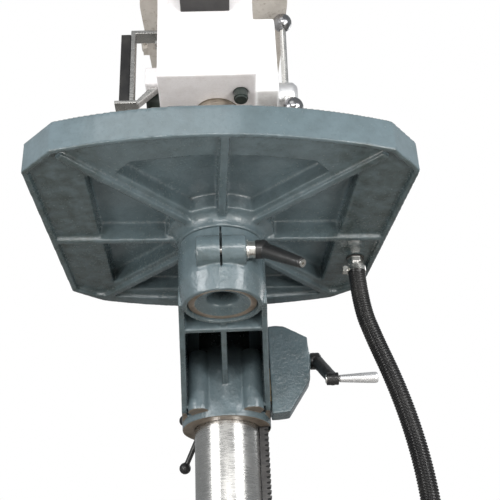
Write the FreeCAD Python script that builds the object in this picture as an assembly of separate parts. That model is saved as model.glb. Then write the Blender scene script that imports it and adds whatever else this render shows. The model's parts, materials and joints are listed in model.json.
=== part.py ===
import FreeCAD, Part
import os
import math

# Floor-standing column drill press, millimetres, +Z up.
# Origin: centre of the four floor bolt holes, on the floor.
# The operator stands at -Y and looks along +Y; +X is on their right.

# ---------------------------------------------------------------- driving sizes
BASE_W, BASE_D, BASE_H = 460.0, 620.0, 60.0     # floor casting
FLOOR_BOLT_DX, FLOOR_BOLT_DY = 400.0, 560.0     # floor bolt pattern
FLOOR_HOLE_R = 7.0
SP_Y = -130.0                                   # spindle and table stem axis (x = 0)
COL_Y = 190.0                                   # column axis (x = 0)
COL_R, COL_WALL = 57.5, 8.0                     # column tube
COL_Z0, COL_Z1 = 72.0, 1462.0
FIT = 0.05                                      # running clearance on radius
TABLE_Z = 970.0                                 # lower edge of the table rim
TABLE_H = 50.0                                  # height of the rim
TABLE_TURN = 2.3                                # table is turned this far about its stem, degrees
RIM_T = 9.2                                     # rim thickness
FLOOR_T0, FLOOR_T1 = 8.0, 18.0                  # trough floor, underside and upper face
RECESS_Z = 34.0                                 # underside of the thin plate between the ribs
HUB_R, STEM_R, STEM_BORE, DISH_R = 68.0, 54.0, 24.0, 43.5
STEM_Z = -112.0                                 # lower end of the stem, from the rim's lower edge
BOSS_R, BOSS_Z0, BOSS_Z1 = 67.0, -117.0, -14.0  # clamping boss of the arm
SLEEVE_R, SLEEVE_Z0, SLEEVE_Z1 = 79.5, -206.0, -16.0
LUG_Y, LUG_Z, LUG_R, LUG_X = -62.5, -54.0, 23.5, 37.5   # clamp lug, from the stem axis
HEAD_Z0, HEAD_Z1 = 1226.0, 1480.0
QUILL_R, QUILL_Z0, QUILL_Z1 = 37.25, 1209.0, 1452.0
QUILL_TRAVEL = 115.0
FEED_Y, FEED_Z = -77.0, 1300.0                  # feed pinion shaft, along X
FEED_PR = 18.0                                  # feed pinion pitch radius
PIN_PR, PIN_X, PIN_Z = 18.0, 89.5, 830.0        # lift pinion, along Y
WHEEL_R, WORM_R = 33.0, 12.0
WORM_Y, WORM_Z = 153.0, 875.3                   # worm and crank shaft, along X
RACK_X0, RACK_X1, RACK_Z0, RACK_Z1 = 57.9, 73.0, 424.0, 1196.0
HOSE_D = 29.0
PULLEY_Z = 1546.0

V = FreeCAD.Vector
X, Y, Z = V(1, 0, 0), V(0, 1, 0), V(0, 0, 1)
os.makedirs("parts", exist_ok=True)
NODES = {}


def box(x0, x1, y0, y1, z0, z1):
    return Part.makeBox(x1 - x0, y1 - y0, z1 - z0, V(x0, y0, z0))


def cyl(x, y, z, r, h, d=Z):
    return Part.makeCylinder(r, h, V(x, y, z), d)


def cone(x, y, z, r0, r1, h, d=Z):
    return Part.makeCone(r0, r1, h, V(x, y, z), d)


def tube(x, y, z, r1, r0, h, d=Z):
    return cyl(x, y, z, r1, h, d).cut(cyl(x, y, z, r0, h, d))


def prism(pts, z0, z1, arcs=None):
    """Upright prism; arcs maps the index of a side to the point its arc passes through."""
    arcs = arcs or {}
    es = []
    n = len(pts)
    for i in range(n):
        a, b = V(*pts[i], z0), V(*pts[(i + 1) % n], z0)
        if i in arcs:
            es.append(Part.Arc(a, V(*arcs[i], z0), b).toShape())
        else:
            es.append(Part.LineSegment(a, b).toShape())
    return Part.Face(Part.Wire(es)).extrude(V(0, 0, z1 - z0))


def slab(pts, axis, a0, a1):
    """Prism of an outline drawn across an axis: 'x' takes (y, z), 'y' takes (x, z)."""
    if axis == "x":
        vs = [V(a0, p[0], p[1]) for p in pts]
        d = V(a1 - a0, 0, 0)
    else:
        vs = [V(p[0], a0, p[1]) for p in pts]
        d = V(0, a1 - a0, 0)
    return Part.Face(Part.makePolygon(vs + [vs[0]])).extrude(d)


def fuse(shapes):
    s = shapes[0].multiFuse(shapes[1:]) if len(shapes) > 1 else shapes[0]
    return s.removeSplitter()


def group(shapes):
    return Part.makeCompound(shapes)


def revolve(pts, x, y, z=0.0, direction="z"):
    """Solid of revolution of (r, h) points about an upright axis through x, y."""
    vs = [V(x + r, y, z + h) for r, h in pts]
    f = Part.Face(Part.makePolygon(vs + [vs[0]]))
    return f.revolve(V(x, y, z), Z, 360)


def hexagon(x, y, z, af, h, d=Z):
    r = af / math.sqrt(3)
    pts = [V(r * math.cos(math.radians(60 * k)), r * math.sin(math.radians(60 * k)), 0) for k in range(6)]
    s = Part.Face(Part.makePolygon(pts + [pts[0]])).extrude(V(0, 0, h))
    s.Placement = FreeCAD.Placement(V(x, y, z), FreeCAD.Rotation(Z, d))
    return s


def hex_bolt(x, y, z, r, shank, af, head, d=Z):
    """Bolt with its head seat at x, y, z, the head standing out along d and the shank going back."""
    back = V(-d.x, -d.y, -d.z)
    return fuse([hexagon(x, y, z, af, head, d), cyl(x, y, z, r, shank, back)])


def put(name, shape):
    assert shape.isValid(), name
    for s in shape.Solids:
        assert s.Volume > 1.0, name
    assert shape.Solids, name
    NODES[name] = shape


def on_table(s):
    """Table frame (stem axis, rim lower edge) to machine frame, with the table's turn."""
    s = s.copy()
    s.rotate(V(0, 0, 0), Z, TABLE_TURN)
    s.translate(V(0, SP_Y, TABLE_Z))
    return s


def on_stem(s):
    """Stem frame (stem axis, rim lower edge) to machine frame, not turned."""
    s = s.copy()
    s.translate(V(0, SP_Y, TABLE_Z))
    return s


# ---------------------------------------------------------------- base casting
def rounded(w, d, r, z0, z1):
    return fuse([box(-w / 2 + r, w / 2 - r, -d / 2, d / 2, z0, z1), box(-w / 2, w / 2, -d / 2 + r, d / 2 - r, z0, z1)]
                + [cyl(sx * (w / 2 - r), sy * (d / 2 - r), z0, r, z1 - z0) for sx in (-1, 1) for sy in (-1, 1)])


base = rounded(BASE_W, BASE_D, 38, 0, BASE_H)
pockets = []
for x0, x1 in ((-205, -78), (-66, 66), (78, 205)):
    for y0, y1 in ((-225, -110), (-98, 17), (29, 118)):
        pockets.append(box(x0, x1, y0, y1, -1, 36))
for y0, y1 in ((-285, -237), (262, 285)):
    pockets.append(box(-165, -6, y0, y1, -1, 36))
    pockets.append(box(6, 165, y0, y1, -1, 36))
base = base.cut(Part.makeCompound(pockets))
base = fuse([base, box(-175, 175, -285, 50, BASE_H, BASE_H + 6), cyl(0, COL_Y, BASE_H, 118, 12)])
cuts = []
for sx in (-1, 1):
    cuts += [box(sx * 85 - 8, sx * 85 + 8, -286, 51, 52, 67), box(sx * 85 - 14, sx * 85 + 14, -286, 51, 43, 52)]
    for sy in (-1, 1):
        cuts += [cyl(sx * FLOOR_BOLT_DX / 2, sy * FLOOR_BOLT_DY / 2, -1, FLOOR_HOLE_R, 80),
                 cyl(sx * FLOOR_BOLT_DX / 2, sy * FLOOR_BOLT_DY / 2, 54, 15, 10)]
for k in range(4):
    a = math.radians(45 + 90 * k)
    cuts.append(cyl(95 * math.cos(a), COL_Y + 95 * math.sin(a), 36, 6, 60))
base = base.cut(Part.makeCompound(cuts))
put("base_casting", base)

# ---------------------------------------------------------------- column
flange = fuse([cyl(0, COL_Y, 72, 115, 20), cone(0, COL_Y, 92, 90, 76, 26), cyl(0, COL_Y, 118, 76, 82)])
flange = flange.cut(cyl(0, COL_Y, 71, COL_R, 140))
fb = []
for k in range(4):
    a = math.radians(45 + 90 * k)
    bx, by = 95 * math.cos(a), COL_Y + 95 * math.sin(a)
    flange = flange.cut(cyl(bx, by, 60, 6, 80))
    flange = flange.cut(cyl(bx, by, 92, 15.5, 40))
    fb.append(fuse([hex_bolt(bx, by, 94.5, 6, 56, 19, 8), cyl(bx, by, 92, 12, 2.5)]))
put("column_flange", flange)
put("flange_bolts", group(fb))
put("column_tube", tube(0, COL_Y, COL_Z0, COL_R, COL_R - COL_WALL, COL_Z1 - COL_Z0))

# ---------------------------------------------------------------- head casting
HF = SP_Y - 100.0                                # front face of the spindle block
ROD_Y = SP_Y - 53.0                              # depth stop rod
blk = fuse([
    box(-97, 67, HF, SP_Y + 76, HEAD_Z0, HEAD_Z1),
    slab([(SP_Y + 70, 1268), (COL_Y, 1268), (COL_Y, HEAD_Z1), (SP_Y + 70, HEAD_Z1)], "x", -72, 67),
    cyl(0, COL_Y, HEAD_Z0, 88, HEAD_Z1 - HEAD_Z0),
    box(66, 107, SP_Y - 52, SP_Y + 92, 1230, 1396),
    box(-125, -96, SP_Y - 14, SP_Y + 12, 1284, 1322),
])
blk = blk.cut(Part.makeCompound([
    cyl(0, SP_Y, HEAD_Z0 - 1, QUILL_R + FIT, 246),                       # quill bore
    cyl(0, SP_Y, 1470, 24, 20),                                          # spline sleeve
    cyl(0, COL_Y, HEAD_Z0 - 1, COL_R, COL_Z1 - HEAD_Z0 + 1),             # column bore
    box(-50, 48, SP_Y + 88, COL_Y - 96, 1290, 1474),                     # core between the bores
    cyl(-99, FEED_Y, FEED_Z, 11 + FIT, 210, X),                          # feed shaft
    cyl(-22, FEED_Y, FEED_Z, 22, 44, X),                                 # feed pinion chamber
    box(-8.5, 8.5, SP_Y + 30, FEED_Y, 1260, 1466),                       # quill rack way
]))
# ways for the depth stop rod and raised pads for the covers
blk = blk.cut(cyl(41, ROD_Y, HEAD_Z0 - 1, 12.0, 158))
blk = blk.cut(cyl(-54, COL_Y - 5, 1300, 5, 40, V(-1, 0, 0))).cut(cyl(-54, COL_Y - 5, 1420, 5, 40, V(-1, 0, 0)))
put("head_casting", blk.removeSplitter())
put("head_set_screws", group([fuse([cyl(-60, COL_Y - 5, z, 5, 32, V(-1, 0, 0)), hexagon(-88.2, COL_Y - 5, z, 17, 11, V(-1, 0, 0)), cyl(-88, COL_Y - 5, z, 5, 2, V(-1, 0, 0))]) for z in (1300, 1420)]))

# bracket on the left of the head: upright channel, foot, brace and a black facing
by0, by1 = SP_Y - 12, SP_Y + 14
brk = fuse([
    box(-151.5, -143.5, by0, by1, 1246, 1412),
    box(-176, -138, by0 - 4, by1 + 4, 1240, 1246),
    slab([(-143.6, 1249), (-136, 1246), (-98.2, 1284), (-98.2, 1296), (-104, 1296)], "y", by0 + 6, by1 - 6).cut(box(-127, -90, by0 - 5, by1 + 5, 1283.6, 1330)),
    box(-151.5, -97.0, by0, by1, 1404, 1412),
    box(-103, -97.0, by0, by1, 1370, 1412),
])
put("side_bracket", brk.cut(cyl(-96, SP_Y + 1, 1388, 4, 20, V(-1, 0, 0))))
put("bracket_pad", box(-169, -151.5, by0, by1, 1246, 1402))
put("bracket_screws", group([hex_bolt(-103, SP_Y + 1, 1388, 4, 6, 13, 5.5, V(-1, 0, 0))]))

# switch box with two buttons on the front of the head
SBX, SBZ = -15.0, 1400.0
sb = box(SBX - 42, SBX + 42, HF - 38, HF, SBZ - 34, SBZ + 34).cut(box(SBX - 39, SBX + 39, HF - 35, HF - 3, SBZ - 31, SBZ + 31))
for dx in (-19, 19):
    sb = sb.cut(cyl(SBX + dx, HF - 39, SBZ, 11.3, 6, Y))
put("switch_box", sb)
for nm, dx in (("start_button", -19), ("stop_button", 19)):
    out = 6.0 if nm == "start_button" else 11.0
    sh = [cyl(SBX + dx, HF - 38 - out, SBZ, 11, out + 9, Y), cyl(SBX + dx, HF - 34.7, SBZ, 13.5, 3, Y)]
    if nm == "stop_button":
        sh.append(cyl(SBX + dx, HF - 38 - out - 5, SBZ, 15, 6, Y))
    put(nm, fuse(sh))

# return spring housing on the left end of the feed shaft
put("spring_housing", fuse([cyl(-97, FEED_Y, FEED_Z, 34, 26, V(-1, 0, 0)), cyl(-123, FEED_Y, FEED_Z, 30, 3, V(-1, 0, 0))]).cut(cyl(-80, FEED_Y, FEED_Z, 11.5, 60, V(-1, 0, 0))).cut(cyl(-100, FEED_Y, FEED_Z, 29, 22, V(-1, 0, 0))))

# ---------------------------------------------------------------- quill, spindle and feed
quill = revolve([(21, 0), (QUILL_R - 1.5, 0), (QUILL_R, 1.5), (QUILL_R, QUILL_Z1 - QUILL_Z0), (21, QUILL_Z1 - QUILL_Z0)], 0, SP_Y, QUILL_Z0)
quill = quill.cut(Part.makeCompound([cyl(0, SP_Y, QUILL_Z0 + 6, 30, 18), cyl(0, SP_Y, QUILL_Z1 - 20, 26, 21)]))
# rack cut into the back of the quill
MOD = 2.0
TP = math.pi * MOD
yb = SP_Y + 37.25
flat = box(-9, 9, SP_Y + 32.9, SP_Y + 40, QUILL_Z0 + 26, QUILL_Z1 - 24)
quill = quill.cut(flat)
teeth = []
n0 = int((QUILL_Z0 + 30 - FEED_Z) / TP)
n1 = int((QUILL_Z1 - 28 - FEED_Z) / TP)
for k in range(n0, n1 + 1):
    zc = FEED_Z + k * TP
    teeth.append(slab([(SP_Y + 32.0, zc - 2.1), (SP_Y + 36.4, zc - 0.75), (SP_Y + 36.4, zc + 0.75), (SP_Y + 32.0, zc + 2.1)], "x", -8, 8))
quill = fuse([quill] + teeth)
put("quill", quill)
# pitch line of the rack is 18 mm in front of the feed shaft
put("quill_bearings", group([tube(0, SP_Y, QUILL_Z0 + 6, 30, 19, 18), tube(0, SP_Y, QUILL_Z1 - 20, 26, 15, 15)]))
sp = revolve([(9.5, -22), (19, -22), (20, -20), (20, 2), (19, 2), (19, 24), (17, 24), (17, 216), (15, 216), (15, 246), (12, 246), (12, 392), (0, 392), (0, 110), (7.6, 100), (9.5, 60)], 0, SP_Y, QUILL_Z0)
put("spindle", sp)


def spur(module, teeth_n, width, bore, clear=0.16, axis=X, centre=V(0, 0, 0), phase=0.0):
    """Straight-flanked spur gear, its teeth thinned so that it meshes freely."""
    pr = module * teeth_n / 2.0
    ra, rf = pr + 0.82 * module, pr - 1.2 * module
    pts = []
    step = 2 * math.pi / teeth_n
    for k in range(teeth_n):
        a = phase + k * step
        hb, hp, ht = 0.33 * step, 0.235 * step - clear / pr, 0.105 * step - clear / pr
        for rr, da in ((rf, -hb), (pr, -hp), (ra, -ht), (ra, ht), (pr, hp), (rf, hb)):
            pts.append((rr * math.cos(a + da), rr * math.sin(a + da)))
    f = Part.Face(Part.makePolygon([V(p[0], p[1], 0) for p in pts + [pts[0]]]))
    g = f.extrude(V(0, 0, width))
    if bore:
        g = g.cut(cyl(0, 0, -1, bore, width + 2))
    rot = FreeCAD.Rotation(V(0, 0, 1), axis)
    g.Placement = FreeCAD.Placement(centre, rot)
    return g


# feed pinion: a tooth gap faces the quill (towards -Y), where a rack tooth lies at the shaft's height
g = spur(MOD, 18, 15, 0)
g.Placement = FreeCAD.Placement()
g.rotate(V(0, 0, 0), Y, 90)                       # gear axis along +X
g.translate(V(-7.5, FEED_Y, FEED_Z))
# with 18 teeth, tooth 0 points to -Z, so half a pitch more than a quarter turn faces a gap to -Y
g.rotate(V(0, FEED_Y, FEED_Z), X, 0 if (18 * 90 / 360.0) % 1 else 10)
fs = fuse([g, cyl(-118, FEED_Y, FEED_Z, 11, 225, X), cyl(107, FEED_Y, FEED_Z, 9, 24, X)])
put("feed_shaft", fs)
hub = fuse([cyl(107.4, FEED_Y, FEED_Z, 33, 6, X), cyl(113.4, FEED_Y, FEED_Z, 27, 26, X), cone(139.4, FEED_Y, FEED_Z, 27, 20, 8, X)])
hub = hub.cut(cyl(100, FEED_Y, FEED_Z, 9, 31, X))
# the lowest handle reaches forwards and down
FEED_A = math.atan2(222.0 + 970 - FEED_Z, -52.0 + SP_Y - FEED_Y)
FEED_L = math.hypot(222.0 + 970 - FEED_Z, -52.0 + SP_Y - FEED_Y)
rods, knobs = [], []
for k in range(3):
    a = FEED_A + 2 * math.pi * k / 3
    d = V(0, math.cos(a), math.sin(a))
    p = V(127, FEED_Y, FEED_Z)
    hub = hub.cut(Part.makeCylinder(6, 30, p + d * 12, d))
    rods.append(Part.makeCylinder(6, FEED_L - 12 - 10, p + d * 12, d))
    kn = Part.makeSphere(17.5, p + d * FEED_L).cut(Part.makeCylinder(6, 22, p + d * (FEED_L - 32), d))
    knobs.append(kn)
put("feed_hub", hub)
put("feed_rods", group(rods))
put("feed_knobs", group(knobs))

# depth stop: a bar carried by the quill collar in front, with nuts above the head's lug
put("depth_stop_rod", fuse([cyl(41, ROD_Y, HEAD_Z0 - 13, 12, 170), cyl(41, ROD_Y, HEAD_Z0 - 17, 10.5, 6)]))

# ---------------------------------------------------------------- pulleys, belts, guard and motor
MOT_Y = 392.0
IDL_Y = 96.0


def stepped(radii, x, y, z, bore, up=True, pitch=15.0, hub_r=16.0):
    """Cone pulley with one V groove for each radius."""
    pts = [(bore, 0)]
    h = 0.0
    rs = radii if up else radii[::-1]
    for r in rs:
        pts += [(r, h), (r, h + 1.6), (r - 7, h + 5.2), (r - 7, h + 9.8), (r, h + 13.4), (r, h + pitch)]
        h += pitch
    pts += [(hub_r, h), (hub_r, h + 3), (bore, h + 3)]
    out = []
    for p in pts:
        if not out or p != out[-1]:
            out.append(p)
    return revolve(out, x, y, z)


STEPS = [36, 50, 64, 78]
sp_pul = stepped(STEPS, 0, SP_Y, PULLEY_Z - 20, 12 + FIT, up=False)
sp_pul = fuse([sp_pul, tube(0, SP_Y, 1484, 20, 12 + FIT, PULLEY_Z - 20 - 1484)])
put("spindle_pulley", sp_pul)
mo_pul = stepped(STEPS, 0, MOT_Y, PULLEY_Z - 20, 12, up=True)
put("motor_pulley", mo_pul)
id_pul = stepped([40, 56, 72, 84], 0, IDL_Y, PULLEY_Z - 20, 8 + FIT, up=True)
put("idler_pulley", id_pul)
put("idler_post", fuse([cyl(0, IDL_Y, 1486, 8, 110), cyl(0, IDL_Y, 1486, 24, 20)]))


def v_belt(y0, r0, y1, r1, z):
    """Closed V belt round two pulleys on the line x = 0, standing clear of both grooves."""
    def loop(a, b):
        d = y1 - y0
        s = (a - b) / d
        c = math.sqrt(1 - s * s)
        p = [V(a * c, y0 + a * s, z), V(b * c, y1 + b * s, z), V(-b * c, y1 + b * s, z), V(-a * c, y0 + a * s, z)]
        es = [Part.LineSegment(p[0], p[1]).toShape(), Part.Arc(p[1], V(0, y1 + b, z), p[2]).toShape(),
              Part.LineSegment(p[2], p[3]).toShape(), Part.Arc(p[3], V(0, y0 - a, z), p[0]).toShape()]
        return Part.Face(Part.Wire(es))
    o = loop(r0 + 4.0, r1 + 4.0)
    i = loop(r0 - 3.6, r1 - 3.6)
    return o.cut(i).extrude(V(0, 0, 3.4))


zf = PULLEY_Z - 20 + 15 + 5.8
put("front_belt", v_belt(SP_Y, STEPS[2] - 3, IDL_Y, 56 - 3, zf))
zr = PULLEY_Z - 20 + 30 + 5.8
put("rear_belt", v_belt(IDL_Y, 72 - 3, MOT_Y, STEPS[2] - 3, zr))


def racetrack(y0, r0, y1, r1, z0, z1):
    d = y1 - y0
    s = (r0 - r1) / d
    c = math.sqrt(1 - s * s)
    p = [V(r0 * c, y0 + r0 * s, z0), V(r1 * c, y1 + r1 * s, z0), V(-r1 * c, y1 + r1 * s, z0), V(-r0 * c, y0 + r0 * s, z0)]
    es = [Part.LineSegment(p[0], p[1]).toShape(), Part.Arc(p[1], V(0, y1 + r1, z0), p[2]).toShape(),
          Part.LineSegment(p[2], p[3]).toShape(), Part.Arc(p[3], V(0, y0 - r0, z0), p[0]).toShape()]
    return Part.Face(Part.Wire(es)).extrude(V(0, 0, z1 - z0))


GR0, GR1 = 138.0, 112.0
pan = racetrack(SP_Y, GR0, MOT_Y, GR1, HEAD_Z1, 1512).cut(racetrack(SP_Y, GR0 - 3, MOT_Y, GR1 - 3, HEAD_Z1 + 4, 1520))
pan = pan.cut(Part.makeCompound([cyl(0, SP_Y, HEAD_Z1 - 1, 26, 10), cyl(0, IDL_Y, HEAD_Z1 - 1, 24.3, 10), cyl(0, MOT_Y, HEAD_Z1 - 1, 30, 10)]))
HX, HZ = -GR0 - 5.5, 1513.5                        # cover hinge axis, along Y on the left
lugs = []
for y0 in (SP_Y - 40, SP_Y + 130):
    lg = fuse([cyl(HX, y0, HZ, 5.5, 20, Y), box(HX - 2, HX + 9, y0, y0 + 20, 1500, 1512)]).cut(cyl(HX, y0 - 1, HZ, 3, 22, Y))
    lugs.append(lg.cut(racetrack(SP_Y, GR0 - 0.02, MOT_Y, GR1 - 0.02, HEAD_Z1, 1530)))
pan = fuse([pan] + lugs)
pan = fuse([pan, cyl(0, IDL_Y, HEAD_Z1 + 4, 30, 2).cut(cyl(0, IDL_Y, HEAD_Z1, 24.3, 10))])
put("belt_guard_pan", pan)
put("cover_hinge_pins", group([cyl(HX, y0 - 21, HZ, 3, 42, Y) for y0 in (SP_Y - 40, SP_Y + 130)]))
cov = racetrack(SP_Y, GR0, MOT_Y, GR1, 1512.6, 1628).cut(racetrack(SP_Y, GR0 - 3, MOT_Y, GR1 - 3, 1500, 1625))
ch = []
for y0 in (SP_Y - 40, SP_Y + 130):
    lg = fuse([cyl(HX, y0 - 20.6, HZ, 5.5, 20, Y), box(HX - 2, HX + 9, y0 - 20.6, y0 - 0.6, 1514.5, 1526)]).cut(cyl(HX, y0 - 22, HZ, 3 + FIT, 24, Y))
    lg = lg.cut(racetrack(SP_Y, GR0 - 0.02, MOT_Y, GR1 - 0.02, 1490, 1630))
    ch.append(lg)
cov = fuse([cov] + ch)
put("belt_cover", cov)
put("cover_knob", revolve([(0, 0), (6, 0), (5, 8), (13, 14), (13, 24), (9, 28), (0, 28)], 92, SP_Y - 20, 1628))

# motor on a plate that slides on two rods behind the head
put("motor_rods", group([cyl(sx * 45, COL_Y + 70, 1400, 9, 48, Y) for sx in (-1, 1)]))
NODES["head_casting"] = NODES["head_casting"].cut(Part.makeCompound([cyl(sx * 45, COL_Y + 40, 1400, 9, 80, Y) for sx in (-1, 1)]))
# keep the rod bores clear of the column bore
mp = box(-80, 80, COL_Y + 98, COL_Y + 112, 1290, 1476)
for sx in (-1, 1):
    mp = mp.cut(cyl(sx * 45, COL_Y + 90, 1400, 9, 40, Y))
put("motor_plate", mp)
mb = fuse([cyl(0, MOT_Y, 1236, 82, 216), cyl(0, MOT_Y, 1224, 74, 240), cyl(0, MOT_Y, 1458, 40, 12)]
          + [box(-30, 30, COL_Y + 112, MOT_Y, 1296, 1446)]
          )
fins = []
for k in range(28):
    a = 2 * math.pi * k / 28
    if math.sin(a) < -0.75:
        continue
    f = box(78, 88, -1.6, 1.6, 1256, 1432)
    f.rotate(V(0, 0, 0), Z, math.degrees(a))
    f.translate(V(0, MOT_Y, 0))
    fins.append(f)
mb = fuse([mb] + fins)
mb = mb.cut(cyl(0, MOT_Y, 1440, 12 + FIT, 60)).cut(cyl(0, MOT_Y, 1440 - 30, 12 + FIT, 60))
put("motor_body", mb)
put("motor_shaft", cyl(0, MOT_Y, 1412, 12, 172))
put("fan_cover", cyl(0, MOT_Y, 1188, 80, 36).cut(cyl(0, MOT_Y, 1191, 76, 40)).fuse(tube(0, MOT_Y, 1218, 80, 74, 18)).removeSplitter().cut(Part.makeCompound([cyl(40 * math.cos(t * math.pi / 4), MOT_Y + 40 * math.sin(t * math.pi / 4), 1180, 9, 20) for t in range(8)])))
put("junction_box", box(87.0, 128, MOT_Y - 40, MOT_Y + 40, 1310, 1390).cut(cyl(0, MOT_Y, 1300, 88.3, 100)))

# ---------------------------------------------------------------- rack and its collars
rk = box(RACK_X0, RACK_X1 - 6.6, COL_Y - 10, COL_Y + 10, RACK_Z0, RACK_Z1)
RM = 3.0
RTP = math.pi * RM
rt = []
m0 = int(math.ceil((RACK_Z0 + 4 - PIN_Z) / RTP))
m1 = int(math.floor((RACK_Z1 - 4 - PIN_Z) / RTP))
xp = PIN_X - PIN_PR                              # pitch line
for k in range(m0, m1 + 1):
    zc = PIN_Z + k * RTP
    rt.append((xp - 5.2, zc - 3.6))
    rt += [(xp, zc - 2.1), (xp + 2.4, zc - 1.25), (xp + 2.4, zc + 1.25), (xp, zc + 2.1)]
    rt.append((xp - 5.2, zc + 3.6))
poly = [(RACK_X0, RACK_Z0), (xp - 5.2, RACK_Z0)] + rt + [(xp - 5.2, RACK_Z1), (RACK_X0, RACK_Z1)]
rk = slab(poly, "y", COL_Y - 10, COL_Y + 10)
put("rack", rk)


def collar(z0, z1, notch_z0, notch_z1):
    c = tube(0, COL_Y, z0, 78, COL_R + FIT, z1 - z0)
    return c.cut(box(50, RACK_X1 + 3, COL_Y - 10, COL_Y + 10, notch_z0, notch_z1))


put("rack_collar_lower", collar(400, 440, RACK_Z0, 445))
put("rack_collar_upper", collar(1180, 1222, 1175, RACK_Z1))
put("collar_screws", group([fuse([hexagon(0, COL_Y + 78.1, z, 13, 6, Y), cyl(0, COL_Y + 70, z, 4, 9, Y)]) for z in (420, 1201)]))
NODES["rack_collar_lower"] = NODES["rack_collar_lower"].cut(cyl(0, COL_Y + 70, 420, 4, 20, Y))
NODES["rack_collar_upper"] = NODES["rack_collar_upper"].cut(cyl(0, COL_Y + 70, 1201, 4, 20, Y))

# ---------------------------------------------------------------- table arm (stem frame, y measured from the stem axis)
CY = COL_Y - SP_Y                                # column axis from the stem axis
TOP = -16.0
boss = fuse([cyl(0, 0, -84, BOSS_R, BOSS_Z1 + 84), cone(0, 0, BOSS_Z0, BOSS_R - 6.0, BOSS_R, -84 - BOSS_Z0)])
lug = cyl(-LUG_X, LUG_Y, LUG_Z, LUG_R, 2 * LUG_X, X)
lug = lug.makeFillet(3, [e for e in lug.Edges if e.Length > 100])
sleeve = cyl(0, CY, SLEEVE_Z0, SLEEVE_R, SLEEVE_Z1 - SLEEVE_Z0)


def side_wall(sgn):
    """Side wall from the boss to the sleeve, its lower edge slanting down to the column."""
    w = prism([(sgn * 58.5, 0), (sgn * 68, 0), (sgn * 79.3, CY - 8), (sgn * 69.8, CY - 8)], -230, TOP)
    prof = slab([(0, BOSS_Z0 + 4), (40, BOSS_Z0 + 1), (250, -183), (262, -190), (330, -200), (330, TOP), (0, TOP)], "x", -100, 100)
    return w.common(prof)


deck = prism([(-66, 0), (66, 0), (79, CY - 8), (-79, CY - 8)], -34, TOP)
rib_c = slab([(40, -104), (60, -118), (250, -150), (250, -30), (40, -30)], "x", -5, 5)
rib_t = box(-62, 62, 68, 78, -124, -30)
bosses = [cyl(sx * 47, CY - 66, -194, 19, 110) for sx in (-1, 1)]
arm = fuse([boss, lug, sleeve, side_wall(-1), side_wall(1), deck, rib_c, rib_t] + bosses)
lugs = box(-30, 30, CY + 60, CY + 116, -196, -26)
arm = fuse([arm, lugs])
arm = arm.cut(Part.makeCompound([
    cyl(0, 0, -200, STEM_R + FIT, 230),                                   # stem bore
    box(-1.1, 1.1, -100, -40, -82, 10),                                   # clamping slit
    cyl(-60, LUG_Y, LUG_Z, 6.1, 120, X),                              # clamp bolt hole
    cyl(LUG_X, LUG_Y, LUG_Z, 17, 14, X), cyl(-LUG_X - 12, LUG_Y, LUG_Z, 9.6, 21, X),   # spot face and counterbore
    cyl(0, CY, -240, COL_R + FIT, 260),                                   # column bore
    box(50, RACK_X1 + 4, CY - 11, CY + 11, -240, 10),                     # rack way
    box(-1.5, 1.5, CY + 50, CY + 130, -240, 10),                          # column clamp slit
    cyl(-60, CY + 98, -66, 6.1, 120, X), cyl(-60, CY + 98, -160, 6.1, 120, X),
    box(55, 84, WORM_Y - SP_Y - 13, CY + 30, -188, -76),                  # window to the gears
]))
arm = on_stem(arm).removeSplitter()
# the lug's bolt passes in front of the stem
put("table_arm", arm)

cb = fuse([cyl(-37, LUG_Y, LUG_Z, 9, 8.5, X), cyl(-30, LUG_Y, LUG_Z, 6, 99.5, X)]).cut(hexagon(-32, LUG_Y, LUG_Z, 10, 6, V(-1, 0, 0)))
put("table_clamp_bolt", on_stem(cb))
put("clamp_spacer", on_stem(fuse([tube(LUG_X, LUG_Y, LUG_Z, 15, 6.1, 3, X), tube(LUG_X + 3, LUG_Y, LUG_Z, 12.8, 6.1, 10.7, X)])))
# ratchet lever: hub on the bolt, arm reaching outwards, down and to the front
LH = V(51.5, LUG_Y, LUG_Z)
TIP = V(111, LUG_Y - 36, LUG_Z - 43)
lev = fuse([cyl(LH.x, LH.y, LH.z, 14.5, 14, X), cone(LH.x + 14, LH.y, LH.z, 14.5, 11.5, 5, X)])
d = TIP - V(62, LUG_Y, LUG_Z)
dn = V(d)
dn.normalize()
lev_arm = Part.makeCone(12.2, 8.2, d.Length + 5, V(62, LUG_Y, LUG_Z), d)
lev_end = Part.makeCone(8.2, 7.0, 2.5, TIP + dn * 5, d)
lev = fuse([lev, lev_arm, lev_end]).cut(cyl(40, LUG_Y, LUG_Z, 6 + FIT, 30, X))
seat = TIP + dn * 1.0
lev = lev.cut(Part.makeCylinder(6.0, 20, seat, dn))
put("clamp_lever", on_stem(lev))
screw = Part.makeCylinder(6.0, 8.2, seat, dn)
sock = Part.Face(Part.makePolygon([V(2.9 * math.cos(k * math.pi / 3), 2.9 * math.sin(k * math.pi / 3), 0) for k in range(7)])).extrude(V(0, 0, 6))
sock.Placement = FreeCAD.Placement(seat + dn * 4.4, FreeCAD.Rotation(Z, dn))
put("clamp_lever_screw", on_stem(screw.cut(sock)))

# column clamp bolts with levers on the left, behind the column
for nm, z in (("column_lock_upper", -66.0), ("column_lock_lower", -160.0)):
    b = fuse([cyl(-52, CY + 98, z, 6, 88, X), hexagon(30.3, CY + 98, z, 19, 8, X)])
    h = fuse([b, cyl(-52, CY + 98, z, 14, 21.7, X)])
    dd = V(-0.42, 0.35, -0.84)
    dd.normalize()
    p = V(-44, CY + 98, z)
    ball = [(11 * math.sin(k * math.pi / 10), 90 - 11 * math.cos(k * math.pi / 10)) for k in range(11)]
    ball = [b for b in ball if b[1] > 81 and b[0] > 0.5]
    hd = revolve([(0, 0), (5, 0), (5, 80.2)] + ball + [(0, 101)], 0, 0, 0)
    hd.Placement = FreeCAD.Placement(p, FreeCAD.Rotation(Z, dd))
    put(nm, on_stem(fuse([h, hd])))

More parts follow.
